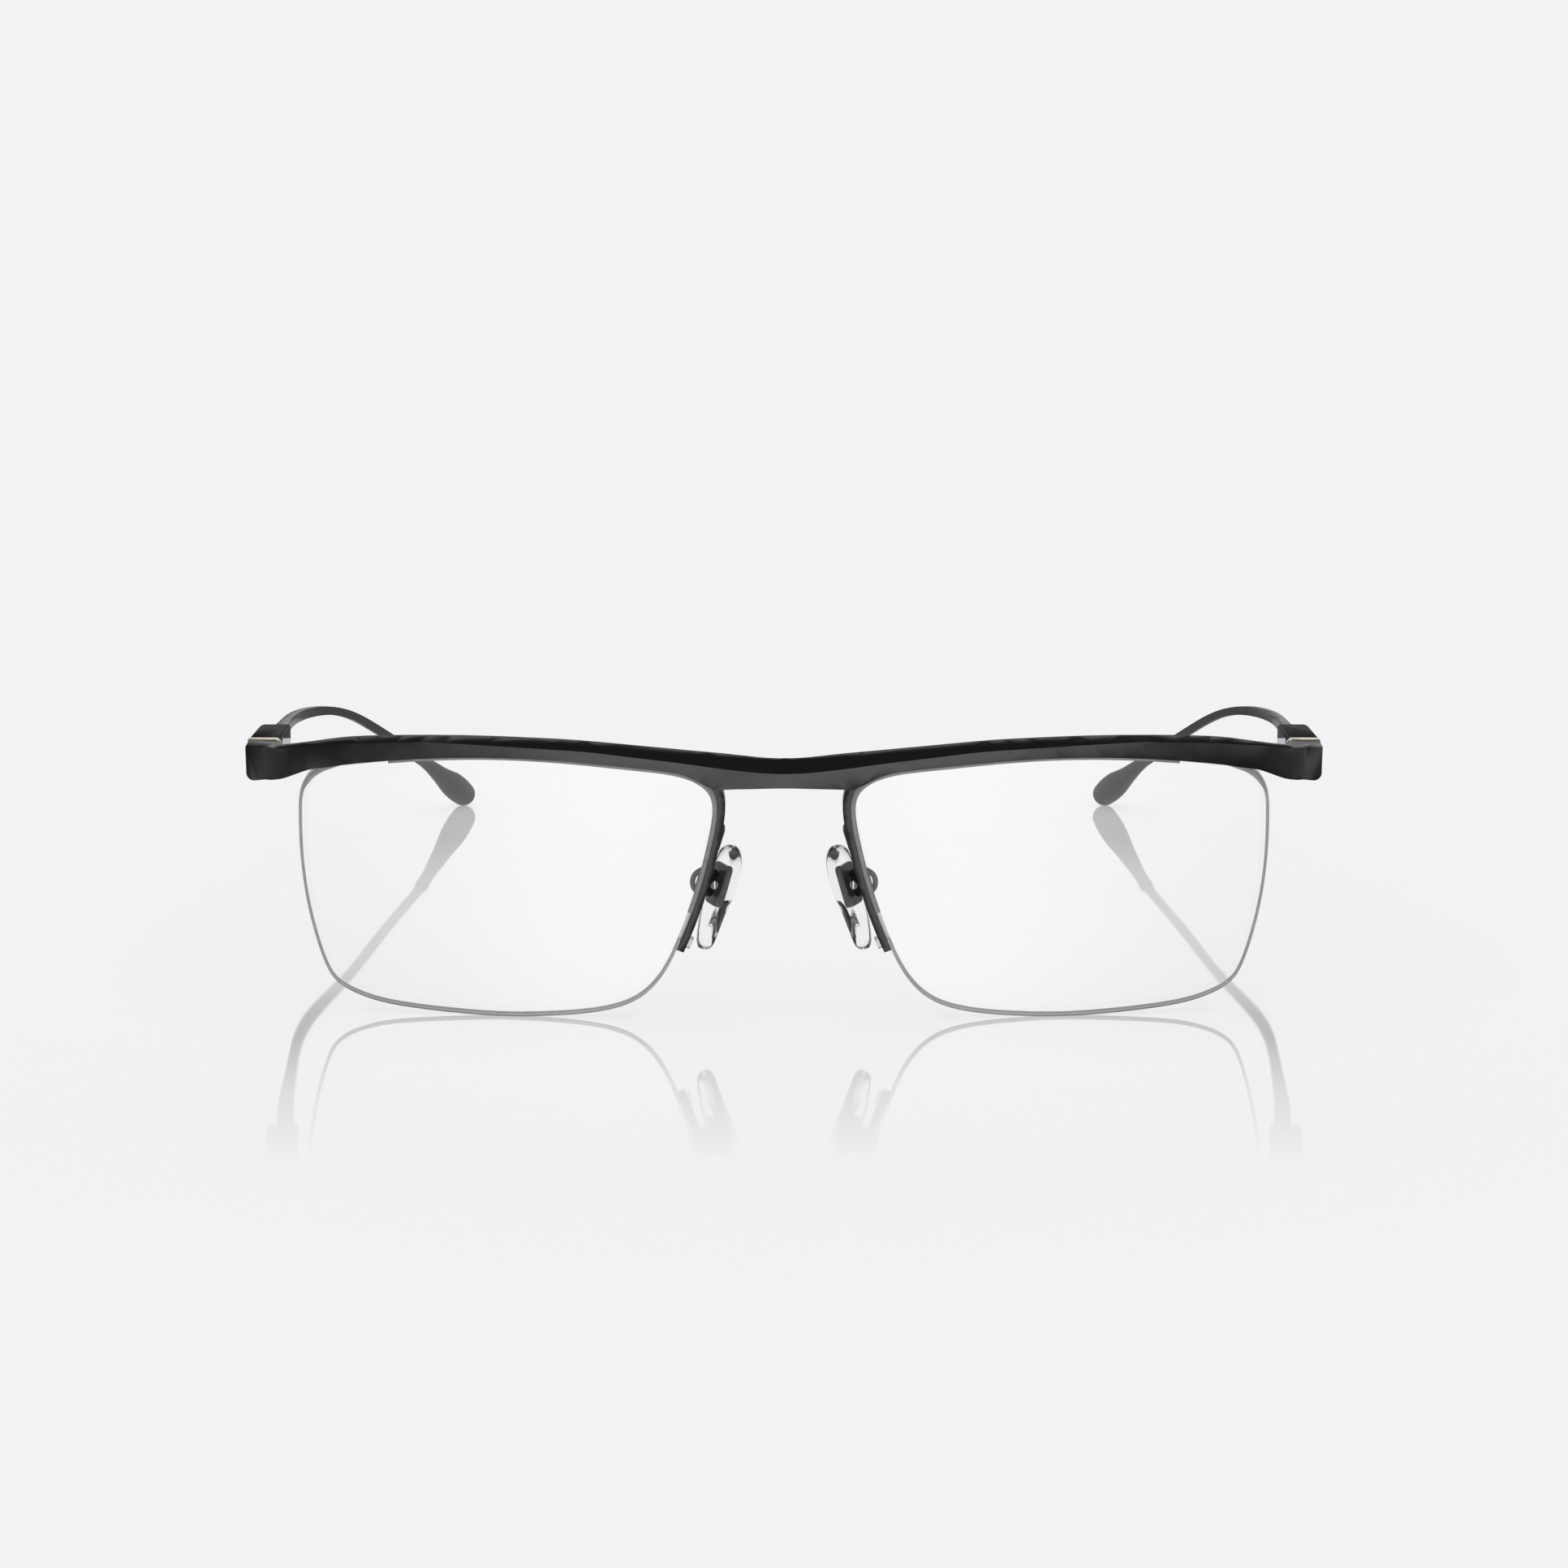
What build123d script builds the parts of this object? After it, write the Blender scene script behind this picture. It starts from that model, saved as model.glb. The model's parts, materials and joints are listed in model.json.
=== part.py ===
from build123d import *
import math
import os

# Half rim eyeglasses standing open on the lower edges of the lenses and the two temple tips.
# +X is the wearer's left, +Y runs back along the temples, +Z is up. The origin is the middle of
# the footprint, on the surface that the glasses stand on. The wearer's right half is modelled
# first and mirrored about the YZ plane.

# ---------------------------------------------------------------- driving dimensions (mm)
TILT = 10.5             # the lens plane leans forward at the top by this angle
Y_MID = 67.203          # from the lens's lowest point back to the middle of the footprint
LIFT = -0.1688          # shift that puts the lowest point at z = 0

LENS_R = 130.0          # front curve of the lens
LENS_T = 2.0            # lens thickness
LENS_C = (-24.32, 128.19, 17.73)    # centre of the lens curves, in the tilted front frame
GROOVE_W = 0.56         # groove in the lens edge
GROOVE_D = 0.46
CORD_R = 0.25           # nylon cord
LINER_T = 0.50          # liner strip thickness
RIM_GAP = 0.06          # between the lens edge and the eyewire
RIM_W = 1.00            # eyewire, across
RIM_FRONT = 0.95        # eyewire, forward of the lens's middle surface
RIM_BACK = 1.15         # eyewire, behind it

BLOCK_X0, BLOCK_X1 = -70.60, -66.10     # endpiece block, outer and inner side
BLOCK_TOP, BLOCK_BACK = 36.57, 4.25
CAP_T = 1.65            # gold cap thickness
SPLIT_GAP = 0.08        # between the endpiece and the gold cap
CASE_END = 45.0         # back end of the temple casing

AXIS_X, AXIS_Y = -65.00, 4.60           # hinge axis, vertical
KNUCKLE_R = 1.12
SCREW_R = 0.55
SCREW_FIT = 0.05        # running clearance of the temple knuckle on the screw
K_Z = (32.50, 33.48, 34.52, 35.60)      # knuckle stack
K_GAP = 0.05

PAD_T = 2.1             # nose pad thickness; it is 14.8 high
PAD_SPLAY = 30.0        # pad face turned back by this angle
BOX_C = (-9.85, 2.55, 17.75)            # pad screw, middle of the box
PAD_SCREW_R = 0.35

# lens edge, in the tilted front frame (x, height)
OUTLINE = [(-62.87, 31.58), (-63.50, 29.84), (-63.73, 27.04), (-63.72, 22.35), (-63.44, 18.08), (-62.86, 13.86),
           (-61.99, 9.76), (-60.88, 6.03), (-59.89, 4.11), (-58.64, 2.96), (-56.49, 1.92), (-53.47, 1.11),
           (-49.80, 0.67), (-44.98, 0.38), (-39.90, 0.20), (-35.54, 0.20), (-30.97, 0.45), (-26.25, 0.90),
           (-22.83, 1.55), (-20.21, 2.51), (-18.27, 3.83), (-16.55, 5.73), (-14.98, 8.36), (-13.45, 11.96),
           (-11.79, 16.50), (-10.52, 20.67), (-9.48, 25.00), (-8.77, 28.98), (-8.81, 31.05), (-9.34, 32.35),
           (-10.48, 33.49), (-12.45, 34.54), (-15.17, 35.28), (-19.64, 35.89), (-24.67, 36.47), (-29.48, 36.88),
           (-34.11, 37.08), (-38.68, 37.06), (-43.28, 36.81), (-47.91, 36.34), (-52.54, 35.66), (-57.27, 34.77),
           (-60.13, 34.00), (-61.74, 32.96)]

# brow bar: top edge, facet's lower edge, front curve and depth, for the right half
BAR_TOP = [(-68.20, 35.92), (-66.80, 36.10), (-65.00, 36.46), (-63.30, 36.79), (-60.00, 37.32), (-55.60, 38.01),
           (-50.20, 38.60), (-44.00, 39.00), (-38.00, 39.18), (-32.00, 39.14), (-26.00, 38.85), (-20.00, 38.22),
           (-15.00, 37.65), (-10.00, 37.12), (-6.00, 36.87), (-2.70, 36.72)]
BAR_LOW_OUT = [(-68.20, 31.60), (-66.80, 31.66), (-65.50, 32.02), (-64.30, 32.58), (-63.20, 33.12), (-61.90, 33.64)]
BAR_LOW_IN = [(-9.90, 33.28), (-9.02, 32.90), (-7.80, 32.92), (-5.00, 33.10), (-2.50, 33.24)]
FRONT_CURVE = [(-72.50, 6.42), (-71.30, 6.25), (-69.00, 5.92), (-67.00, 5.58), (-65.00, 5.10), (-62.00, 4.27),
               (-56.00, 2.60), (-50.00, 1.23), (-44.00, 0.16), (-38.00, -0.62), (-32.00, -1.12), (-26.00, -1.34),
               (-20.00, -1.28), (-15.00, -1.10), (-11.00, -1.06), (-7.50, -1.25), (-4.00, -1.55)]
FRONT_MID = (0.0, -1.70)
DEPTH = [(-68.20, 0.45), (-66.70, 0.60), (-65.90, 1.05), (-64.50, 1.14), (-63.00, 1.32), (-61.50, 1.62), (-60.00, 2.02), (-58.00, 2.46),
         (-55.00, 2.64), (-50.00, 2.68), (-44.00, 2.78), (-38.00, 2.74), (-30.00, 2.64), (-22.00, 2.64),
         (-14.00, 2.70), (-9.00, 2.76), (-6.00, 2.62), (-3.00, 2.30)]
DEPTH_MID = 2.24
FACET = [(-46.0, 0.00), (-42.7, 0.13), (-38.5, 0.32), (-34.3, 0.45), (-30.0, 0.53), (-25.8, 0.58), (-21.6, 0.66),
         (-17.4, 0.80), (-14.3, 0.89), (-12.2, 0.98), (-9.0, 1.13), (-6.9, 1.21), (-4.8, 1.28), (-2.7, 1.33)]
FACET_MID = 1.34

# temple wire and tip, centre line (x, y, z) in the resting frame
WIRE = [(-70.42, 36.0, 30.20), (-71.05, 45.0, 29.00), (-71.95, 60.0, 27.20), (-72.48, 75.0, 25.60),
        (-72.50, 87.1, 24.30), (-71.30, 96.9, 23.28), (-69.05, 105.2, 22.05), (-66.60, 111.6, 20.30),
        (-62.85, 119.4, 16.50), (-60.05, 123.7, 13.65)]
TIP_END = (-51.04, 140.78, 2.069)       # middle of the round end of the temple tip
TIP_DIR = (4.86, 10.28, -6.93)          # the tip runs straight in this direction
TIP_LEN = 16.5                          # from the sleeve's start to the middle of the round end
TIP_R = 1.90                            # the round end
TIP_SHAPE = [(0.0, 1.04), (0.7, 1.03), (1.6, 0.96), (3.1, 0.98), (4.5, 1.10), (5.9, 1.24), (7.3, 1.37), (8.6, 1.51),
             (10.0, 1.69), (11.4, 1.89), (12.7, 2.01), (13.8, 2.05), (15.3, 2.01), (TIP_LEN, TIP_R)]
CORE_R, CORE_L = 0.45, 12.0             # the wire's round core inside the tip

S, C = math.sin(math.radians(TILT)), math.cos(math.radians(TILT))
ORG = Vector(0, -Y_MID, LIFT)
FY = Vector(0, C, S)        # back, square to the lens plane
FZ = Vector(0, -S, C)       # up, in the lens plane


def tilted(x, y, z):
    """A point of the tilted front frame."""
    return ORG + Vector(x, 0, 0) + FY * y + FZ * z


def rest(x, y, z):
    """A point of the resting frame, y counted from the lens's lowest point."""
    return Vector(x, y - Y_MID, z + LIFT)


def front_view(d):
    return Plane(origin=ORG + FY * d, x_dir=(1, 0, 0), z_dir=FY * -1)


def plan_view(h):
    return Plane(origin=ORG + FZ * h, x_dir=(1, 0, 0), z_dir=FZ)


def side_view(x):
    return Plane(origin=ORG + Vector(x, 0, 0), x_dir=FY, z_dir=(1, 0, 0))


def upright(y):
    """The XZ plane at distance y, facing forward."""
    return Plane(origin=rest(0, y, 0), x_dir=(1, 0, 0), z_dir=(0, -1, 0))


def flat(z):
    return Plane(origin=rest(0, 0, z))


def offset_points(points, d, closed=True):
    """Points moved outward from a closed loop that runs anticlockwise or clockwise."""
    n = len(points)
    area = sum(points[i][0] * points[(i + 1) % n][1] - points[(i + 1) % n][0] * points[i][1] for i in range(n))
    sign = 1 if area > 0 else -1
    out = []
    for i in range(n):
        a, b = points[i - 1], points[(i + 1) % n]
        p = points[i]
        l1 = math.hypot(p[0] - a[0], p[1] - a[1])
        l2 = math.hypot(b[0] - p[0], b[1] - p[1])
        # tangent of the circle through the three points
        tx = (p[0] - a[0]) / l1 * l2 + (b[0] - p[0]) / l2 * l1
        tz = (p[1] - a[1]) / l1 * l2 + (b[1] - p[1]) / l2 * l1
        m = math.hypot(tx, tz)
        out.append((p[0] + sign * tz / m * d, p[1] - sign * tx / m * d))
    return out


def interp(table, x):
    for (x0, y0), (x1, y1) in zip(table, table[1:]):
        if x0 <= x <= x1:
            return y0 + (y1 - y0) * (x - x0) / (x1 - x0)
    return table[-1][1] if x > table[-1][0] else table[0][1]


def both_sides(points, middle):
    """A right half and its mirror image, joined at the middle point."""
    return points + [middle] + [(-x, y) for x, y in reversed(points)]


def lens_middle(x, z, r=LENS_R - LENS_T / 2):
    return LENS_C[1] - math.sqrt(r * r - (x - LENS_C[0]) ** 2 - (z - LENS_C[2]) ** 2)


LENS_O = tilted(*LENS_C)
R_MID = LENS_R - LENS_T / 2
N = len(OUTLINE)


def run(points, first, last):
    """Consecutive outline points from index first to last, going round."""
    k = (last - first) % N
    return [points[(first + i) % N] for i in range(k + 1)]


# ---------------------------------------------------------------- lens and its groove
with BuildPart() as lens_groove:
    with BuildSketch(front_view(12)):
        with BuildLine():
            Spline(*offset_points(OUTLINE, 0.6), periodic=True)
        make_face()
        with BuildLine():
            Spline(*offset_points(OUTLINE, -GROOVE_D), periodic=True)
        make_face(mode=Mode.SUBTRACT)
    extrude(amount=16)
    with Locations(LENS_O):
        Sphere(R_MID + GROOVE_W / 2, mode=Mode.INTERSECT)
        Sphere(R_MID - GROOVE_W / 2, mode=Mode.SUBTRACT)

with BuildPart() as right_lens:
    with BuildSketch(front_view(12)):
        with BuildLine():
            Spline(*OUTLINE, periodic=True)
        make_face()
    extrude(amount=16)
    with Locations(LENS_O):
        Sphere(LENS_R, mode=Mode.INTERSECT)
        Sphere(LENS_R - LENS_T, mode=Mode.SUBTRACT)
    add(lens_groove.part, mode=Mode.SUBTRACT)

# ---------------------------------------------------------------- eyewire: from the outer top, over the lens, down the nose side
RIM_A, RIM_B = 23, 41       # outline indices: nasal end and outer end
out_in = offset_points(OUTLINE, RIM_GAP)
out_out = offset_points(OUTLINE, RIM_GAP + RIM_W)
nasal_end = (-14.20, 10.10)     # the arm is cut square a little below index 23


def between(p, q, t):
    return (p[0] + (q[0] - p[0]) * t, p[1] + (q[1] - p[1]) * t)


rim_inner = [between(out_in[22], out_in[23], 0.52)] + run(out_in, RIM_A, RIM_B)
rim_outer = [between(out_out[22], out_out[23], 0.52)] + run(out_out, RIM_A, RIM_B)
slot_in = offset_points(OUTLINE, -0.30)
slot_out = offset_points(OUTLINE, 0.47)

with BuildPart() as rim_slot:
    with BuildSketch(front_view(12)):
        with BuildLine():
            Spline(*slot_out, periodic=True)
        make_face()
        with BuildLine():
            Spline(*slot_in, periodic=True)
        make_face(mode=Mode.SUBTRACT)
    extrude(amount=16)
    with Locations(LENS_O):
        Sphere(R_MID + LINER_T / 2 + 0.03, mode=Mode.INTERSECT)
        Sphere(R_MID - LINER_T / 2 - 0.03, mode=Mode.SUBTRACT)

# where the cord goes through the eyewire, near each end
CORD_NASAL = between(OUTLINE[22], OUTLINE[23], 0.86)
CORD_OUTER = between(OUTLINE[41], OUTLINE[40], 0.12)


def edge_dir(p, q):
    """Outward direction square to the chord p-q, on the side away from the lens's middle."""
    tx, tz = q[0] - p[0], q[1] - p[1]
    m = math.hypot(tx, tz)
    n = (tz / m, -tx / m)
    mid = (-36.0, 18.0)
    if (p[0] - mid[0]) * n[0] + (p[1] - mid[1]) * n[1] < 0:
        n = (-n[0], -n[1])
    return n


def radial_plane(p, n, d):
    """A plane on the lens's middle surface at outline point p, moved outward by d and facing outward."""
    q = (p[0] + n[0] * d, p[1] + n[1] * d)
    o = tilted(q[0], lens_middle(*p), q[1])
    return Plane(origin=o, x_dir=FY, z_dir=Vector(n[0], 0, 0) + FZ * n[1])


N_NASAL = edge_dir(OUTLINE[22], OUTLINE[23])
N_OUTER = edge_dir(OUTLINE[40], OUTLINE[41])

with BuildPart() as right_rim:
    with BuildSketch(front_view(12)):
        with BuildLine():
            a = Spline(*rim_inner)
            b = Spline(*rim_outer)
            Line(a @ 0, b @ 0)
            Line(a @ 1, b @ 1)
        make_face()
    extrude(amount=16)
    with Locations(LENS_O):
        Sphere(R_MID + RIM_FRONT, mode=Mode.INTERSECT)
        Sphere(R_MID - RIM_BACK, mode=Mode.SUBTRACT)
    add(rim_slot.part, mode=Mode.SUBTRACT)
    for p, n in ((CORD_NASAL, N_NASAL), (CORD_OUTER, N_OUTER)):
        with BuildSketch(radial_plane(p, n, -0.5)):
            Circle(CORD_R + 0.03)
        extrude(amount=3, mode=Mode.SUBTRACT)

# ---------------------------------------------------------------- clear liner in the eyewire's groove
liner_in = run(offset_points(OUTLINE, -0.36), 24, 40)
liner_out = run(offset_points(OUTLINE, 0.42), 24, 40)
with BuildPart() as right_rim_liner:
    with BuildSketch(front_view(12)):
        with BuildLine():
            a = Spline(*liner_in)
            b = Spline(*liner_out)
            Line(a @ 0, b @ 0)
            Line(a @ 1, b @ 1)
        make_face()
    extrude(amount=16)
    with Locations(LENS_O):
        Sphere(R_MID + LINER_T / 2, mode=Mode.INTERSECT)
        Sphere(R_MID - LINER_T / 2, mode=Mode.SUBTRACT)

# ---------------------------------------------------------------- nylon cord round the lower half
cord_line = offset_points(OUTLINE, -0.12)
cord_pts = run(cord_line, 42, 22)
cord_pts = [(CORD_OUTER[0] - N_OUTER[0] * 0.12, CORD_OUTER[1] - N_OUTER[1] * 0.12)] + cord_pts + \
           [(CORD_NASAL[0] - N_NASAL[0] * 0.12, CORD_NASAL[1] - N_NASAL[1] * 0.12)]
with BuildPart() as right_nylon_cord:
    with BuildLine() as cord_path:
        Spline(*[tilted(x, lens_middle(x, z), z) for x, z in cord_pts])
    with BuildSketch(Plane(origin=cord_path.line @ 0, z_dir=cord_path.line % 0)):
        Circle(CORD_R)
    sweep()
    for p, n, d in ((CORD_NASAL, N_NASAL, 1.30), (CORD_OUTER, N_OUTER, 1.00)):
        with Locations(tilted(p[0] - n[0] * 0.12, lens_middle(*p), p[1] - n[1] * 0.12)):
            Sphere(CORD_R)
        with BuildSketch(radial_plane(p, n, -0.12)):
            Circle(CORD_R)
        extrude(amount=d + 0.12)
    # the loop that stops the cord outside the nasal arm
    with BuildSketch(radial_plane(CORD_NASAL, N_NASAL, RIM_GAP + RIM_W + 0.03)):
        RectangleRounded(1.10, 1.70, 0.5)
    extrude(amount=0.50)

# ---------------------------------------------------------------- brow bar with endpiece blocks
bar_low_mid = [p for p in run(offset_points(OUTLINE, RIM_GAP), 30, 42)]     # nasal corner to outer corner
bar_low_mid = [p for p in reversed(bar_low_mid) if -61.0 < p[0] < -10.3]
bar_low = BAR_LOW_OUT + bar_low_mid + BAR_LOW_IN
front_pts = both_sides(FRONT_CURVE, FRONT_MID)
depth = both_sides(DEPTH, (0.0, DEPTH_MID))


def front_y(x):
    """The bar's front curve, straight between close samples of a Catmull-Rom spline."""
    x = -abs(x)
    pts = both_sides(FRONT_CURVE, FRONT_MID)
    for i in range(len(pts) - 1):
        if pts[i][0] <= x <= pts[i + 1][0]:
            p0 = pts[max(i - 1, 0)]
            p1, p2 = pts[i], pts[i + 1]
            p3 = pts[min(i + 2, len(pts) - 1)]
            h = p2[0] - p1[0]
            m1 = (p2[1] - p0[1]) / (p2[0] - p0[0])
            m2 = (p3[1] - p1[1]) / (p3[0] - p1[0])
            t = (x - p1[0]) / h
            return ((2 * t ** 3 - 3 * t ** 2 + 1) * p1[1] + (t ** 3 - 2 * t ** 2 + t) * h * m1
                    + (-2 * t ** 3 + 3 * t ** 2) * p2[1] + (t ** 3 - t ** 2) * h * m2)
    return pts[0][1]


def top_z(x):
    return interp(both_sides(BAR_TOP, (0.0, 36.66)), -abs(x))


back_pts = [(x, front_y(x) + d) for x, d in depth]

with BuildPart() as facet_cut:
    for x, d in both_sides(FACET, (0.0, FACET_MID)):
        e = 0.35
        y0, z0 = front_y(x), top_z(x)
        with BuildSketch(side_view(x)):
            with BuildLine():
                Polyline((y0 - e, z0 - d - e), (y0 + d + e, z0 + e), (y0 - e, z0 + e), close=True)
            make_face()
    loft()

# endpiece blocks, square to the temples' split line and curved on the front
with BuildPart() as end_blocks:
    for s in (1, -1):
        with BuildSketch(upright(BLOCK_BACK)) as block:
            with BuildLine():
                Polyline((s * BLOCK_X0, BLOCK_TOP), (s * (BLOCK_X1 - 0.45), BLOCK_TOP), (s * BLOCK_X1, BLOCK_TOP - 0.45),
                         (s * BLOCK_X1, 32.40), (s * BLOCK_X0, 31.80), close=True)
            make_face()
            fillet([v for v in block.vertices() if abs(abs(v.X) - abs(BLOCK_X0)) < 0.01 and v.Y < 33], 1.0)
        extrude(amount=9)
    with BuildSketch(plan_view(26)):
        with BuildLine():
            f = Spline(*front_pts)
            Polyline(f @ 0, (-72.5, 16), (72.5, 16), f @ 1)
        make_face()
    extrude(amount=18, mode=Mode.INTERSECT)

with BuildPart() as brow_bar:
    with BuildSketch(front_view(14)):
        with BuildLine():
            top = Spline(*both_sides(BAR_TOP, (0.0, 36.66)))
            low = Spline(*both_sides(bar_low, (0.0, 33.30)))
            Line(top @ 0, low @ 0)
            Line(top @ 1, low @ 1)
        make_face()
    extrude(amount=20)
    # the plan shape: a front curve and a back curve, which end inside the blocks
    with BuildSketch(plan_view(26)):
        with BuildLine():
            f = Spline(*front_pts)
            b = Spline(*back_pts)
            Line(f @ 0, b @ 0)
            Line(f @ 1, b @ 1)
        make_face()
    extrude(amount=18, mode=Mode.INTERSECT)
    add(end_blocks.part)
    add(facet_cut.part, mode=Mode.SUBTRACT)

# the rebate that the two eyewires are brazed into
with BuildPart() as right_rebate:
    with BuildSketch(front_view(12)):
        with BuildLine():
            a = Spline(*run(offset_points(OUTLINE, -0.5), 27, 42))
            b = Spline(*run(offset_points(OUTLINE, RIM_GAP + RIM_W + 0.01), 27, 42))
            Line(a @ 0, b @ 0)
            Line(a @ 1, b @ 1)
        make_face()
    extrude(amount=16)
    with Locations(LENS_O):
        Sphere(R_MID + RIM_FRONT + 0.01, mode=Mode.INTERSECT)
        Sphere(R_MID - 6, mode=Mode.SUBTRACT)
with BuildPart() as left_rebate:
    mirror(right_rebate.part, about=Plane.YZ)
with BuildPart() as brow_bar_cut:
    add(brow_bar.part)
    add(right_rebate.part, mode=Mode.SUBTRACT)
    add(left_rebate.part, mode=Mode.SUBTRACT)
brow_bar = brow_bar_cut

# ---------------------------------------------------------------- hinge
with BuildPart() as right_front_hinge:
    with BuildSketch(flat(K_Z[0])):
        with Locations((AXIS_X, AXIS_Y)):
            Circle(KNUCKLE_R)
        with BuildLine():
            Polyline((BLOCK_X1, 0.90), (BLOCK_X1 + 0.75, 0.90), (BLOCK_X1 + 0.75, AXIS_Y), (BLOCK_X1, AXIS_Y), close=True)
        make_face()
    extrude(amount=K_Z[3] - K_Z[0])
    with BuildSketch(flat(K_Z[1])):
        with Locations((AXIS_X, AXIS_Y)):
            Circle(KNUCKLE_R + 0.10)
    extrude(amount=K_Z[2] - K_Z[1], mode=Mode.SUBTRACT)
    with BuildSketch(flat(K_Z[0])):
        with Locations((AXIS_X, AXIS_Y)):
            Circle(SCREW_R)
    extrude(amount=K_Z[3] - K_Z[0], mode=Mode.SUBTRACT)
    with BuildSketch(flat(K_Z[3] - 0.45)):
        with Locations((AXIS_X, AXIS_Y)):
            Circle(0.86)
    extrude(amount=1, mode=Mode.SUBTRACT)

with BuildPart() as right_hinge_screw:
    with BuildSketch(flat(K_Z[0])):
        with Locations((AXIS_X, AXIS_Y)):
            Circle(SCREW_R)
    extrude(amount=K_Z[3] - K_Z[0] - 0.45)
    with BuildSketch(flat(K_Z[3] - 0.45)):
        with Locations((AXIS_X, AXIS_Y)):
            Circle(0.84)
    extrude(amount=0.42)
    with BuildSketch(flat(K_Z[3] - 0.20)):
        with Locations((AXIS_X, AXIS_Y)):
            Rectangle(2, 0.26, rotation=35)
    extrude(amount=0.5, mode=Mode.SUBTRACT)

with BuildPart() as right_temple_hinge:
    with BuildSketch(flat(K_Z[1] + K_GAP)):
        with Locations((AXIS_X, AXIS_Y)):
            Circle(KNUCKLE_R)
        with BuildLine():
            Polyline((AXIS_X - 1.10, AXIS_Y), (AXIS_X - 0.30, AXIS_Y), (AXIS_X - 0.45, 7.0), (AXIS_X - 0.85, 12.6),
                     (AXIS_X - 2.10, 12.6), (AXIS_X - 1.75, 6.6), (AXIS_X - 1.12, 6.1), close=True)
        make_face()
    extrude(amount=K_Z[2] - K_Z[1] - 2 * K_GAP)
    with BuildSketch(flat(32.75)):
        with BuildLine():
            Polyline((AXIS_X - 0.47, 7.2), (AXIS_X - 0.85, 12.6), (AXIS_X - 2.10, 12.6), (AXIS_X - 1.78, 7.2), close=True)
        make_face()
    extrude(amount=2.5)
    with BuildSketch(flat(K_Z[1])):
        with Locations((AXIS_X, AXIS_Y)):
            Circle(SCREW_R + SCREW_FIT)
    extrude(amount=2, mode=Mode.SUBTRACT)

# ---------------------------------------------------------------- gold cap on the temple's front end
cap_y0 = BLOCK_BACK + SPLIT_GAP
cap_y1 = cap_y0 + CAP_T
with BuildPart() as right_gold_cap:
    with BuildSketch(upright(cap_y1)) as cap:
        with BuildLine():
            Polyline((BLOCK_X0 - 0.20, BLOCK_TOP + 0.05), (-66.95, BLOCK_TOP + 0.05), (-66.45, BLOCK_TOP - 0.45),
                     (-66.45, 32.35), (BLOCK_X0 - 0.20, 31.74), close=True)
        make_face()
        fillet([v for v in cap.vertices() if abs(v.X - BLOCK_X0 + 0.20) < 0.01 and v.Y < 33], 1.0)
    extrude(amount=CAP_T)

# ---------------------------------------------------------------- temple casing, wire and tip
tip_dir = Vector(*TIP_DIR).normalized()
tip_end = rest(*TIP_END)
tip_start = tip_end - tip_dir * TIP_LEN
wire_pts = [rest(*p) for p in WIRE] + [tip_start]
with BuildPart() as temple_path:
    with BuildLine() as wire_line:
        Spline(*wire_pts, tangents=(wire_pts[1] - wire_pts[0], tip_dir))


def station(y):
    """A plane square to the wire's centre line at distance y, its x across and level."""
    target = y - Y_MID
    lo, hi = 0.0, 1.0
    for _ in range(50):
        m = (lo + hi) / 2
        if (wire_line.line @ m).Y < target:
            lo = m
        else:
            hi = m
    t = (lo + hi) / 2
    tangent = wire_line.line % t
    return Plane(origin=wire_line.line @ t, x_dir=tangent.cross(Vector(0, 0, 1)), z_dir=tangent)


wire_root = [(36.2, 2.60, 1.60), (45.0, 2.60, 1.60)]
wire_sizes = [(45.0, 2.60, 1.60), (55.0, 2.25, 1.54), (66.0, 1.70, 1.48), (78.0, 1.36, 1.46), (90.0, 1.30, 1.46),
              (100.0, 1.22, 1.36), (108.0, 1.08, 1.22), (114.0, 1.04, 1.16), (121.0, 1.04, 1.16)]
tip_plane = Plane(origin=tip_start, x_dir=tip_dir.cross(Vector(0, 0, 1)), z_dir=tip_dir)
with BuildPart() as right_temple_wire:
    for y, w, t in wire_root:
        with BuildSketch(station(y)):
            Rectangle(w, t)
    loft(ruled=True)
    for y, w, t in wire_sizes:
        with BuildSketch(station(y)):
            Rectangle(w, t)
    with BuildSketch(tip_plane):
        Rectangle(1.06, 1.18)
    loft()
    with BuildSketch(tip_plane):
        Circle(CORE_R)
    extrude(amount=CORE_L)

with BuildPart() as right_temple_tip:
    with BuildSketch(Plane(origin=tip_start, x_dir=tip_dir, z_dir=tip_plane.x_dir)):
        with BuildLine():
            Spline(*TIP_SHAPE)
            Line((0, 0), TIP_SHAPE[0])
            ThreePointArc((TIP_LEN, TIP_R), (TIP_LEN + TIP_R * math.sqrt(0.5), TIP_R * math.sqrt(0.5)), (TIP_LEN + TIP_R, 0))
            Line((0, 0), (TIP_LEN + TIP_R, 0))
        make_face()
    revolve(axis=Axis(tip_start, tip_dir))
    with BuildSketch(tip_plane):
        Circle(CORE_R + 0.01)
    extrude(amount=CORE_L + 0.01, mode=Mode.SUBTRACT)

with BuildPart() as wire_socket:
    for y, w, t in ((36.15, 2.60, 1.60), (45.05, 2.60, 1.60)):
        with BuildSketch(station(y)):
            Rectangle(w + 0.04, t + 0.04)
    loft(ruled=True)

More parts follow.
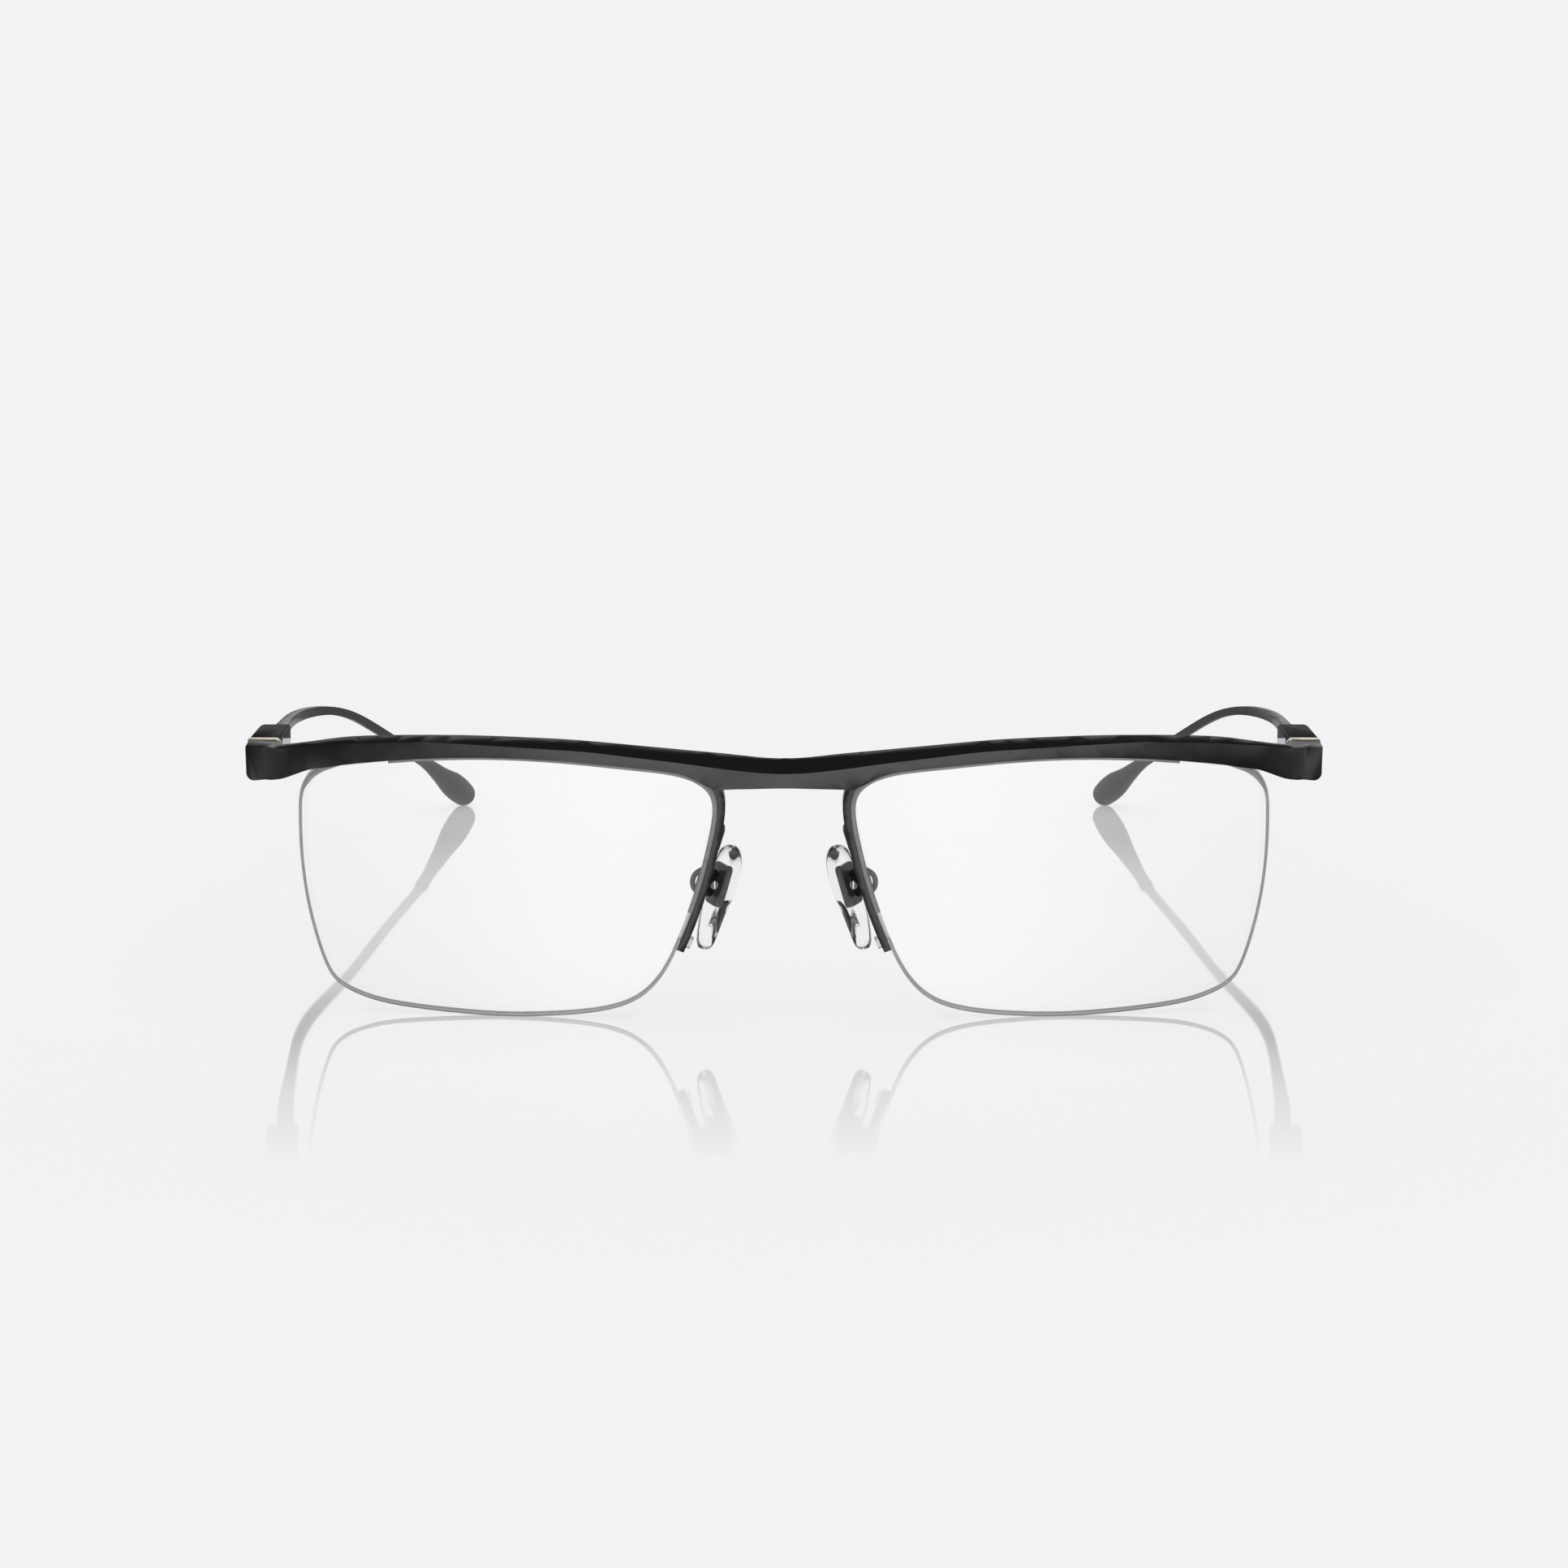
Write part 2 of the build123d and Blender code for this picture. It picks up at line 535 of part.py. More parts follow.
with BuildPart() as right_temple:
    with BuildSketch(upright(cap_y1)):
        with BuildLine():
            Polyline((-70.75, 36.29), (-70.66, 36.50), (-70.45, 36.59), (-67.02, 36.59), (-66.52, 36.09), (-66.52, 32.35),
                     (-70.75, 31.80), close=True)
        make_face()
    with BuildSketch(upright(CASE_END)):
        with BuildLine():
            Polyline((-73.40, 30.42), (-73.19, 30.91), (-72.70, 31.12), (-69.28, 31.12), (-69.00, 30.84), (-69.00, 27.02),
                     (-73.40, 27.00), close=True)
        make_face()
    loft(ruled=True)
    add(wire_socket.part, mode=Mode.SUBTRACT)
    add(right_temple_hinge.part, mode=Mode.SUBTRACT)

# ---------------------------------------------------------------- nose pad, its insert, box, screw and arm
pu = Vector(0.27, 0.02, 0.963).normalized()            # up along the pad
pn = Vector(math.cos(math.radians(PAD_SPLAY)), math.sin(math.radians(PAD_SPLAY)), 0)
pn = (pn - pu * pn.dot(pu)).normalized()                # out of the pad's face, towards the nose
pw = pu.cross(pn)                                       # back across the pad
BOX_O = rest(*BOX_C)
PAD_OUT, PAD_DOWN = 1.98, 1.81


def pad_plane(n, u=0.0, w=0.0):
    """A plane facing the nose at n from the pad screw; x runs up the pad and y back across it."""
    return Plane(origin=BOX_O + pn * n + pu * u + pw * w, x_dir=pu, z_dir=pn)


def screw_plane(w):
    """A plane facing forward, square to the pad screw; x is towards the nose."""
    return Plane(origin=BOX_O + pw * w, x_dir=pn, z_dir=pw * -1)


pad_outline = [(7.26, 0.30), (6.75, -1.15), (5.40, -2.15), (3.20, -2.50), (0.60, -2.25), (-2.20, -1.62), (-4.90, -1.20),
               (-6.60, -0.80), (-7.35, 0.12), (-6.60, 1.05), (-4.90, 1.78), (-2.20, 2.42), (0.80, 2.68), (3.60, 2.50),
               (6.10, 1.70)]
PAD_CROWN = [(0.0, 0.60), (0.2, 0.25), (0.6, 0.0), (1.25, 0.0), (1.75, 0.22), (PAD_T, 0.80)]    # height, inset
with BuildPart() as right_pad_insert:
    with BuildSketch(pad_plane(PAD_OUT - PAD_T / 2)):
        with Locations((0, 0.25)):
            RectangleRounded(5.7, 3.2, 0.6)
    extrude(amount=0.85)
    with BuildSketch(pad_plane(PAD_OUT - PAD_T / 2 + 0.05)):
        Rectangle(2.1, 1.10)
    extrude(amount=-(PAD_OUT - PAD_T / 2 + 0.05 + 0.85))
    with BuildSketch(screw_plane(1.5)):
        Circle(PAD_SCREW_R + 0.05)
    extrude(amount=3, mode=Mode.SUBTRACT)

with BuildPart() as right_nose_pad:
    for h, inset in PAD_CROWN:
        with BuildSketch(pad_plane(PAD_OUT - PAD_T / 2 + h, -PAD_DOWN)):
            with BuildLine():
                Spline(*offset_points(pad_outline, -inset), periodic=True)
            make_face()
    loft(ruled=True)
    add(right_pad_insert.part, mode=Mode.SUBTRACT)

with BuildPart() as box_outer:
    with BuildSketch(pad_plane(-1.50)):
        RectangleRounded(3.70, 2.10, 0.9)
    extrude(amount=1.90)

with BuildPart() as right_pad_box:
    add(box_outer.part)
    with BuildSketch(pad_plane(-1.15)):
        Rectangle(2.95, 1.30)
    extrude(amount=3, mode=Mode.SUBTRACT)
    with BuildSketch(screw_plane(1.5)):
        Circle(PAD_SCREW_R)
    extrude(amount=3, mode=Mode.SUBTRACT)

with BuildPart() as right_pad_screw:
    with BuildSketch(screw_plane(1.05)):
        Circle(PAD_SCREW_R)
    extrude(amount=2.10)
    with BuildSketch(screw_plane(-1.05)):
        Circle(0.56)
    extrude(amount=0.34)
    with BuildSketch(screw_plane(-1.25)):
        Rectangle(0.18, 2, rotation=20)
    extrude(amount=0.5, mode=Mode.SUBTRACT)

ARM_R = 0.36
arm_pts = [(-8.95, -3.30, 25.10), (-9.05, -2.00, 24.35), (-9.40, -0.60, 22.80), (-9.95, 0.70, 21.25),
           (-10.75, 1.45, 20.05), (-11.75, 1.80, 19.30), (-12.14, 1.88, 18.20), (-11.75, 1.85, 17.15),
           (-10.95, 1.95, 16.75), (-10.45, 2.10, 17.10)]
with BuildPart() as right_pad_arm:
    with BuildLine() as arm_line:
        Spline(*[rest(*p) for p in arm_pts])
    with BuildSketch(Plane(origin=arm_line.line @ 0, z_dir=arm_line.line % 0)):
        Circle(ARM_R)
    sweep()
    # tab brazed to the nose side of the eyewire
    with BuildSketch(upright(-2.90)):
        with BuildLine():
            Polyline((-9.00, 26.55), (-8.30, 26.85), (-7.95, 26.82), (-7.70, 26.55), (-7.72, 26.10), (-8.50, 23.60),
                     (-9.40, 23.60), close=True)
        make_face()
    extrude(amount=1.70)
    add(box_outer.part, mode=Mode.SUBTRACT)
    add(right_rim.part, mode=Mode.SUBTRACT)
    add(right_lens.part, mode=Mode.SUBTRACT)
    add(rim_slot.part, mode=Mode.SUBTRACT)

# ---------------------------------------------------------------- labels, mirror images and files
right = {
    "lens": right_lens, "rim": right_rim, "rim_liner": right_rim_liner, "nylon_cord": right_nylon_cord,
    "front_hinge": right_front_hinge, "hinge_screw": right_hinge_screw, "temple_hinge": right_temple_hinge,
    "gold_cap": right_gold_cap, "temple": right_temple, "temple_wire": right_temple_wire,
    "temple_tip": right_temple_tip, "nose_pad": right_nose_pad, "pad_insert": right_pad_insert,
    "pad_box": right_pad_box, "pad_screw": right_pad_screw, "pad_arm": right_pad_arm,
}
os.makedirs("parts", exist_ok=True)
brow_bar.part.label = "brow_bar"
export_step(brow_bar.part, "parts/brow_bar.step")
for name, piece in right.items():
    piece.part.label = "right_" + name
    export_step(piece.part, f"parts/right_{name}.step")
    with BuildPart() as other:
        mirror(piece.part, about=Plane.YZ)
    other.part.label = "left_" + name
    export_step(other.part, f"parts/left_{name}.step")
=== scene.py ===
import json
import math
import bpy
import bmesh
import numpy as np
from mathutils import Vector, Matrix, noise


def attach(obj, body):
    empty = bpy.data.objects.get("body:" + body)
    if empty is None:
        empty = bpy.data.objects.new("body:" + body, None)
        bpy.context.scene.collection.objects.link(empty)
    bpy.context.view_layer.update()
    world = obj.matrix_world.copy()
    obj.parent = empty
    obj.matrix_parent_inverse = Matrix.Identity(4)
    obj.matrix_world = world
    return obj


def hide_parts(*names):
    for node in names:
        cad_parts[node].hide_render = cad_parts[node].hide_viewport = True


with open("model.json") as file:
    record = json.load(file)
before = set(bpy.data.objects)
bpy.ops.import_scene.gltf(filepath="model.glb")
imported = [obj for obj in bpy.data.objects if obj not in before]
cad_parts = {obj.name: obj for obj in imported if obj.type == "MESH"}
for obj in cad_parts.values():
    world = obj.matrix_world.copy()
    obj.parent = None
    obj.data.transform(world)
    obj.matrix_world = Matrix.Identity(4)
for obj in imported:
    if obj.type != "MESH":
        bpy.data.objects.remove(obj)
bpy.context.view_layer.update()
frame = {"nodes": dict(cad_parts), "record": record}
NODES = frame["nodes"]
scene = bpy.context.scene
MM = 0.001


# ------------------------------------------------------------------ colour helpers
def lin(c):
    c = c / 255.0
    return c / 12.92 if c <= 0.04045 else ((c + 0.055) / 1.055) ** 2.4


def rgb(r, g, b, a=1.0):
    return (lin(r), lin(g), lin(b), a)


# ------------------------------------------------------------------ material helpers
def new_mat(name):
    m = bpy.data.materials.new(name)
    m.use_nodes = True
    nt = m.node_tree
    bsdf = nt.nodes["Principled BSDF"]
    return m, nt, bsdf


def node(nt, kind, **values):
    n = nt.nodes.new(kind)
    for k, v in values.items():
        if hasattr(n, k):
            setattr(n, k, v)
        else:
            n.inputs[k].default_value = v
    return n


def noise_of(nt, scale, detail=4.0, rough=0.55, stretch=(1, 1, 1)):
    """Noise in the part's own coordinates (metres), with a per-axis stretch."""
    co = nt.nodes.new("ShaderNodeTexCoord")
    mp = nt.nodes.new("ShaderNodeMapping")
    mp.inputs["Scale"].default_value = stretch
    nt.links.new(co.outputs["Object"], mp.inputs["Vector"])
    n = nt.nodes.new("ShaderNodeTexNoise")
    n.inputs["Scale"].default_value = scale
    n.inputs["Detail"].default_value = detail
    n.inputs["Roughness"].default_value = rough
    nt.links.new(mp.outputs["Vector"], n.inputs["Vector"])
    return n


def ramp(nt, src, stops):
    r = nt.nodes.new("ShaderNodeValToRGB")
    el = r.color_ramp.elements
    el.remove(el[1])
    el[0].position = stops[0][0]
    el[0].color = stops[0][1]
    for p, c in stops[1:]:
        el.new(p).color = c
    nt.links.new(src, r.inputs["Fac"])
    return r


def remap(nt, src, a0, a1, b0, b1):
    m = nt.nodes.new("ShaderNodeMapRange")
    m.inputs["From Min"].default_value = a0
    m.inputs["From Max"].default_value = a1
    m.inputs["To Min"].default_value = b0
    m.inputs["To Max"].default_value = b1
    nt.links.new(src, m.inputs["Value"])
    return m


def add_bump(nt, bsdf, src, strength, distance):
    b = nt.nodes.new("ShaderNodeBump")
    b.inputs["Strength"].default_value = strength
    b.inputs["Distance"].default_value = distance
    nt.links.new(src, b.inputs["Height"])
    nt.links.new(b.outputs["Normal"], bsdf.inputs["Normal"])
    return b


def black_metal(name, base=(0.105, 0.105, 0.108), rough=0.33, tint=0.30, grain=1.0):
    """Satin black plated metal: a dark metallic reflection, a very fine blasted grain and slightly uneven gloss."""
    m, nt, b = new_mat(name)
    b.inputs["Metallic"].default_value = 1.0
    b.inputs["Specular Tint"].default_value = (tint, tint, tint, 1.0)
    cloud = noise_of(nt, 260.0, 5.0, 0.6)
    lo = tuple(c * 0.94 for c in base) + (1.0,)
    hi = tuple(c * 1.06 for c in base) + (1.0,)
    r = ramp(nt, cloud.outputs["Fac"], [(0.30, lo), (0.70, hi)])
    nt.links.new(r.outputs["Color"], b.inputs["Base Color"])
    fine = noise_of(nt, 9000.0, 2.0, 0.5)
    rr = remap(nt, cloud.outputs["Fac"], 0.3, 0.7, rough - 0.03, rough + 0.04)
    nt.links.new(rr.outputs["Result"], b.inputs["Roughness"])
    add_bump(nt, b, fine.outputs["Fac"], 0.10 * grain, 0.00002)
    return m


def gold_metal(name):
    """Pale gold plate, fine satin: lengthways brushing and slight changes of tone."""
    m, nt, b = new_mat(name)
    b.inputs["Metallic"].default_value = 1.0
    brush = noise_of(nt, 1400.0, 3.0, 0.6, (1.0, 0.06, 1.0))
    tone = noise_of(nt, 180.0, 3.0, 0.5)
    r = ramp(nt, tone.outputs["Fac"], [(0.3, (0.86, 0.76, 0.57, 1)), (0.7, (0.92, 0.83, 0.65, 1))])
    nt.links.new(r.outputs["Color"], b.inputs["Base Color"])
    rr = remap(nt, brush.outputs["Fac"], 0.3, 0.7, 0.22, 0.34)
    nt.links.new(rr.outputs["Result"], b.inputs["Roughness"])
    add_bump(nt, b, brush.outputs["Fac"], 0.12, 0.00002)
    return m


def steel(name, base=(0.62, 0.62, 0.63), rough=0.28):
    m, nt, b = new_mat(name)
    b.inputs["Metallic"].default_value = 1.0
    brush = noise_of(nt, 2200.0, 3.0, 0.6, (1.0, 1.0, 0.15))
    r = ramp(nt, brush.outputs["Fac"], [(0.3, tuple(c * 0.92 for c in base) + (1,)), (0.7, tuple(c * 1.06 for c in base) + (1,))])
    nt.links.new(r.outputs["Color"], b.inputs["Base Color"])
    rr = remap(nt, brush.outputs["Fac"], 0.3, 0.7, rough - 0.05, rough + 0.08)
    nt.links.new(rr.outputs["Result"], b.inputs["Roughness"])
    add_bump(nt, b, brush.outputs["Fac"], 0.10, 0.00002)
    return m


def clear(name, tint, rough, ior, grain_scale, grain, deep=0.0):
    """Clear moulded or polished plastic: transmission with a faint surface texture and slight tint."""
    m, nt, b = new_mat(name)
    b.inputs["Transmission Weight"].default_value = 1.0
    b.inputs["IOR"].default_value = ior
    cloud = noise_of(nt, grain_scale, 3.0, 0.5)
    lo = tuple(c * (1 - deep) for c in tint) + (1.0,)
    hi = tuple(min(1.0, c) for c in tint) + (1.0,)
    r = ramp(nt, cloud.outputs["Fac"], [(0.25, lo), (0.75, hi)])
    nt.links.new(r.outputs["Color"], b.inputs["Base Color"])
    rr = remap(nt, cloud.outputs["Fac"], 0.25, 0.75, max(0.0, rough - 0.02), rough + 0.02)
    nt.links.new(rr.outputs["Result"], b.inputs["Roughness"])
    if grain:
        add_bump(nt, b, cloud.outputs["Fac"], grain, 0.00003)
    return m


def frosted(name, tint, rough, ior=1.45, dark=0.12):
    """Ground plastic edge: light passes but is scattered, with a fine uneven grain."""
    m, nt, b = new_mat(name)
    b.inputs["Transmission Weight"].default_value = 1.0
    b.inputs["IOR"].default_value = ior
    cloud = noise_of(nt, 1500.0, 4.0, 0.6)
    lo = tuple(c * (1 - dark) for c in tint) + (1.0,)
    r = ramp(nt, cloud.outputs["Fac"], [(0.3, lo), (0.7, tuple(tint) + (1.0,))])
    nt.links.new(r.outputs["Color"], b.inputs["Base Color"])
    rr = remap(nt, cloud.outputs["Fac"], 0.25, 0.75, rough - 0.05, rough + 0.05)
    nt.links.new(rr.outputs["Result"], b.inputs["Roughness"])
    add_bump(nt, b, cloud.outputs["Fac"], 0.25, 0.00003)
    return m


def satin(name, lo, hi, rough, grain=0.15, scale=900.0, trans=0.0):
    """Moulded plastic with a slightly uneven tone and a fine texture."""
    m, nt, b = new_mat(name)
    b.inputs["Transmission Weight"].default_value = trans
    cloud = noise_of(nt, scale, 4.0, 0.6)
    r = ramp(nt, cloud.outputs["Fac"], [(0.3, tuple(lo) + (1.0,)), (0.7, tuple(hi) + (1.0,))])
    nt.links.new(r.outputs["Color"], b.inputs["Base Color"])
    rr = remap(nt, cloud.outputs["Fac"], 0.3, 0.7, rough - 0.04, rough + 0.05)
    nt.links.new(rr.outputs["Result"], b.inputs["Roughness"])
    fine = noise_of(nt, 7000.0, 2.0, 0.5)
    add_bump(nt, b, fine.outputs["Fac"], grain, 0.00002)
    return m


MAT = {}
MAT["bar"] = black_metal("black_bar", base=(0.066, 0.066, 0.067), rough=0.21, tint=0.55)
MAT["casing"] = black_metal("black_casing", base=(0.075, 0.075, 0.076), rough=0.46, tint=0.30)
MAT["rim"] = black_metal("black_eyewire", base=(0.060, 0.060, 0.061), rough=0.26, tint=0.50)
MAT["wire"] = black_metal("black_wire", base=(0.072, 0.072, 0.074), rough=0.24, tint=0.50)
MAT["hinge"] = black_metal("black_hinge", base=(0.060, 0.060, 0.061), rough=0.30, tint=0.50)
MAT["arm"] = black_metal("black_pad_arm", base=(0.045, 0.045, 0.046), rough=0.30, tint=0.50)
MAT["gold"] = gold_metal("pale_gold_plate")
MAT["steel"] = steel("fine_steel")
MAT["screw"] = steel("bright_screw", base=(0.90, 0.90, 0.90), rough=0.22)
MAT["lens"] = clear("clear_lens_painted_glow", (0.994, 0.996, 0.997), 0.0, 1.5, 40.0, 0.0, 0.002)
# a faint white emission makes the lens glow: painted light that brightens the lens a little above the backdrop
for k, v in (("Specular IOR Level", 0.15), ("Emission Strength", 0.017)):
    MAT["lens"].node_tree.nodes["Principled BSDF"].inputs[k].default_value = v
MAT["lens"].node_tree.nodes["Principled BSDF"].inputs["Emission Color"].default_value = (1, 1, 1, 1)
MAT["edge"] = frosted("ground_lens_edge", (0.66, 0.67, 0.67), 0.42)
MAT["nylon"] = frosted("nylon_cord_grey", (0.74, 0.75, 0.75), 0.24)
MAT["liner"] = satin("clear_liner_strip", (0.33, 0.33, 0.335), (0.40, 0.40, 0.405), 0.30, 0.12, 700.0)
MAT["nylon_lip"] = satin("clear_nylon_band", (0.42, 0.42, 0.42), (0.50, 0.50, 0.50), 0.30, 0.10, 700.0)
# near-black colour for the lips' inner walls and undersides: painted shade that draws the dark shadow line along the
# liner's edge
MAT["liner_side"] = satin("liner_edge_painted_shade", (0.020, 0.020, 0.021), (0.030, 0.030, 0.031), 0.45)
MAT["silicone"] = clear("clear_silicone", (0.975, 0.982, 0.985), 0.02, 1.38, 500.0, 0.04, 0.01)
MAT["plate"] = satin("pad_plate", (0.150, 0.143, 0.130), (0.205, 0.195, 0.180), 0.42, 0.25, 1300.0)
MAT["tip"] = satin("black_tip", (0.013, 0.013, 0.014), (0.019, 0.019, 0.020), 0.42, 0.12, 420.0)
MAT["tip"].node_tree.nodes["Principled BSDF"].inputs["Specular IOR Level"].default_value = 0.07

USE = {
    "brow_bar": "bar", "lens": "lens", "rim": "rim", "rim_liner": "liner", "nylon_cord": "nylon",
    "front_hinge": "hinge", "hinge_screw": "steel", "temple_hinge": "steel", "gold_cap": "gold", "temple": "casing",
    "temple_wire": "wire", "temple_tip": "tip", "nose_pad": "silicone", "pad_insert": "plate", "pad_box": "arm",
    "pad_screw": "screw", "pad_arm": "arm",
}
BODY = {n: b for b, ns in frame["record"]["behaviour"]["bodies"].items() for n in ns}
SIDES = ("right", "left")


def kind_of(n):
    return n if n in USE else n.split("_", 1)[1]


for n, o in NODES.items():
    mat = MAT[USE[kind_of(n)]]
    if not o.material_slots:
        o.data.materials.append(mat)
    for s in o.material_slots:
        s.material = mat


# ------------------------------------------------------------------ pieces made from the CAD nodes
def merged(name):
    """The node's own mesh in a new bmesh, with doubled points merged."""
    bm = bmesh.new()
    bm.from_mesh(NODES[name].data)
    bmesh.ops.remove_doubles(bm, verts=bm.verts, dist=2e-7)
    return bm


def link(name, mesh, mats):
    ob = bpy.data.objects.new(name, mesh)
    scene.collection.objects.link(ob)
    mesh.materials.clear()
    for m in mats:
        mesh.materials.append(m)
    return ob


def evaluated(ob):
    """Applies an object's modifiers to its mesh."""
    dg = bpy.context.evaluated_depsgraph_get()
    me = bpy.data.meshes.new_from_object(ob.evaluated_get(dg), preserve_all_data_layers=True, depsgraph=dg)
    ob.modifiers.clear()
    old = ob.data
    ob.data = me
    bpy.data.meshes.remove(old)


def stands_for(ob, node_name, *more):
    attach(ob, BODY[node_name])
    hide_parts(node_name, *more)


def softened(node_name, width, segments=2, angle=32.0, flat=0.4):
    """The node with its sharp edges broken by a small radius, as on the finished metal."""
    bm = merged(node_name)
    bmesh.ops.dissolve_limit(bm, angle_limit=math.radians(flat), verts=bm.verts, edges=bm.edges)
    me = bpy.data.meshes.new(node_name + "_finished")
    bm.to_mesh(me)
    bm.free()
    ob = link(node_name + "_finished", me, [MAT[USE[kind_of(node_name)]]])
    for p in me.polygons:
        p.material_index = 0
        p.use_smooth = True
    bev = ob.modifiers.new("edge", "BEVEL")
    bev.width = width * MM
    bev.segments = segments
    bev.limit_method = "ANGLE"
    bev.angle_limit = math.radians(angle)
    bev.use_clamp_overlap = True
    bev.harden_normals = True
    bev.miter_outer = "MITER_SHARP"
    evaluated(ob)
    stands_for(ob, node_name)
    return ob


softened("brow_bar", 0.12)
for side in SIDES:
    softened(side + "_rim", 0.10)
    softened(side + "_temple", 0.16)
    softened(side + "_gold_cap", 0.12)
    softened(side + "_temple_wire", 0.14)

# lens: polished faces and a ground edge
TILT = math.radians(10.5)
SHIFT = Vector((0.0, -67.203, -0.1688))


def tilted(x, y, z):
    """A point of the tilted front frame, in metres."""
    return (SHIFT + Vector((x, y * math.cos(TILT) - z * math.sin(TILT), y * math.sin(TILT) + z * math.cos(TILT)))) * MM


for side, sg in (("right", 1), ("left", -1)):
    name = side + "_lens"
    me = NODES[name].data.copy()
    ob = link(name + "_polished", me, [MAT["lens"], MAT["edge"]])
    centre = tilted(-24.32 * sg, 128.19, 17.73)
    for p in me.polygons:
        v = p.center - centre
        r = v.length / MM
        polished = abs(p.normal.dot(v.normalized())) > 0.9 and (abs(r - 130.0) < 0.06 or abs(r - 128.0) < 0.06)
        p.material_index = 0 if polished else 1
    stands_for(ob, name)


# ------------------------------------------------------------------ clear liner lips on the front of the lens
def front_loop(node_name, centre):
    """The edge of the lens's front face, as an ordered loop of points."""
    bm = merged(node_name)
    front = {f for f in bm.faces if abs((f.calc_center_median() - centre).length / MM - 130.0) < 0.06
             and abs(f.normal.dot((f.calc_center_median() - centre).normalized())) > 0.9}
    nxt = {}
    for f in front:
        for l in f.loops:
            if not any(g in front for g in l.edge.link_faces if g is not f):
                nxt[l.vert] = l.link_loop_next.vert
    start = next(iter(sorted(nxt, key=lambda v: (v.co.z, v.co.x))))
    out, v = [start.co.copy()], nxt[start]
    while v is not start and len(out) < 5000:
        out.append(v.co.copy())
        v = nxt[v]
    bm.free()
    return out


def resampled(points, step):
    """Points at even steps along an open line, smoothed lightly."""
    dist = [0.0]
    for a, b in zip(points, points[1:]):
        dist.append(dist[-1] + (b - a).length)
    n = max(4, int(dist[-1] / step))
    out, k = [], 0
    for i in range(n + 1):
        d = dist[-1] * i / n
        while k < len(dist) - 2 and dist[k + 1] < d:
            k += 1
        t = (d - dist[k]) / max(dist[k + 1] - dist[k], 1e-12)
        out.append(points[k].lerp(points[k + 1], t))
    for _ in range(3):
        out = [out[0]] + [(out[i - 1] + out[i] * 2 + out[i + 1]) / 4 for i in range(1, len(out) - 1)] + [out[-1]]
    return out


def lip(name, line, centre, middle, section, mats, sides, ends=0.0):
    """A strip along a line on the lens's front: section holds (inward, proud) in mm, closed; sides gives each face's material."""
    bm = bmesh.new()
    rings = []
    n = len(line)
    for i, p in enumerate(line):
        t = (line[min(i + 1, n - 1)] - line[max(i - 1, 0)]).normalized()
        r = (p - centre).normalized()
        inward = r.cross(t).normalized()
        if inward.dot(middle - p) < 0:
            inward = -inward
        k = 1.0
        if ends and min(i, n - 1 - i) < 5:
            k = math.sin(math.pi / 2 * (0.25 + 0.75 * min(i, n - 1 - i) / 5.0))
        rings.append([bm.verts.new(p + inward * (a * k * MM) + r * (h * MM)) for a, h in section])
    m = len(section)
    for a, b in zip(rings, rings[1:]):
        for j in range(m):
            f = bm.faces.new((a[j], a[(j + 1) % m], b[(j + 1) % m], b[j]))
            f.material_index = sides[j]
            f.smooth = True
    bm.faces.new(rings[0])
    bm.faces.new(list(reversed(rings[-1])))
    bmesh.ops.recalc_face_normals(bm, faces=bm.faces)
    me = bpy.data.meshes.new(name)
    bm.to_mesh(me)
    bm.free()
    me.set_sharp_from_angle(angle=math.radians(28))
    return link(name, me, mats)


LIP = [(-0.03, 0.00), (-0.03, 0.12), (0.05, 0.15), (0.44, 0.15), (0.50, 0.12), (0.58, 0.00)]
for side, sg in (("right", 1), ("left", -1)):
    node_name = side + "_lens"
    centre = tilted(-24.32 * sg, 128.19, 17.73)
    loop = front_loop(node_name, centre)
    middle = sum(loop, Vector()) / len(loop)
    # start the loop in the middle of the bottom edge
    low = min(range(len(loop)), key=lambda i: abs(loop[i].x - middle.x) + (1.0 if loop[i].z > middle.z else 0.0))
    loop = loop[low:] + loop[:low]
    if loop[len(loop) // 8].x * sg > middle.x * sg:
        loop.reverse()
    # runs from the bottom over the outer side, the top and the nose side
    def part(test):
        idx = [i for i, p in enumerate(loop) if test(p)]
        return loop[idx[0]:idx[-1] + 1]
    top_run = part(lambda p: (p.z > 0.030 and p.x * sg > -0.0530) or (p.x * sg > -0.025 and p.z > 0.0134))
    # the lip's inner slope and underside take the near-black painted-shade material, drawing the shadow line along the
    # liner's inner edge
    strip = lip(side + "_liner_lip", resampled(top_run, 0.0006), centre, middle, LIP, [MAT["liner"], MAT["liner_side"]],
                [0, 0, 0, 0, 1, 1])
    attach(strip, "front")
    end_run = part(lambda p: (p.x * sg < -0.025 and p.z > 0.0300 and p.x * sg < -0.0571))
    # the band's underside takes the same near-black painted-shade material
    band = lip(side + "_cord_lip", resampled(end_run, 0.0005), centre, middle,
               [(-0.03, 0.00), (-0.03, 0.06), (0.06, 0.10), (0.36, 0.10), (0.42, 0.07), (0.50, 0.00)],
               [MAT["nylon_lip"], MAT["liner_side"]], [0, 0, 0, 0, 0, 1], ends=1.0)
    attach(band, "front")

# ------------------------------------------------------------------ nose pads: soft, with a fully rounded edge
PAD_OUTLINE = [(7.26, 0.30), (6.75, -1.15), (5.40, -2.15), (3.20, -2.50), (0.60, -2.25), (-2.20, -1.62), (-4.90, -1.20),
               (-6.60, -0.80), (-7.35, 0.12), (-6.60, 1.05), (-4.90, 1.78), (-2.20, 2.42), (0.80, 2.68), (3.60, 2.50),
               (6.10, 1.70)]
PU = Vector((0.27, 0.02, 0.963)).normalized()
PN = Vector((math.cos(math.radians(30)), math.sin(math.radians(30)), 0.0))
PN = (PN - PU * PN.dot(PU)).normalized()
PW = PU.cross(PN)
BOX_O = SHIFT + Vector((-9.85, 2.55, 17.75))
PAD_OUT, PAD_DOWN, PAD_T = 1.98, 1.81, 2.10


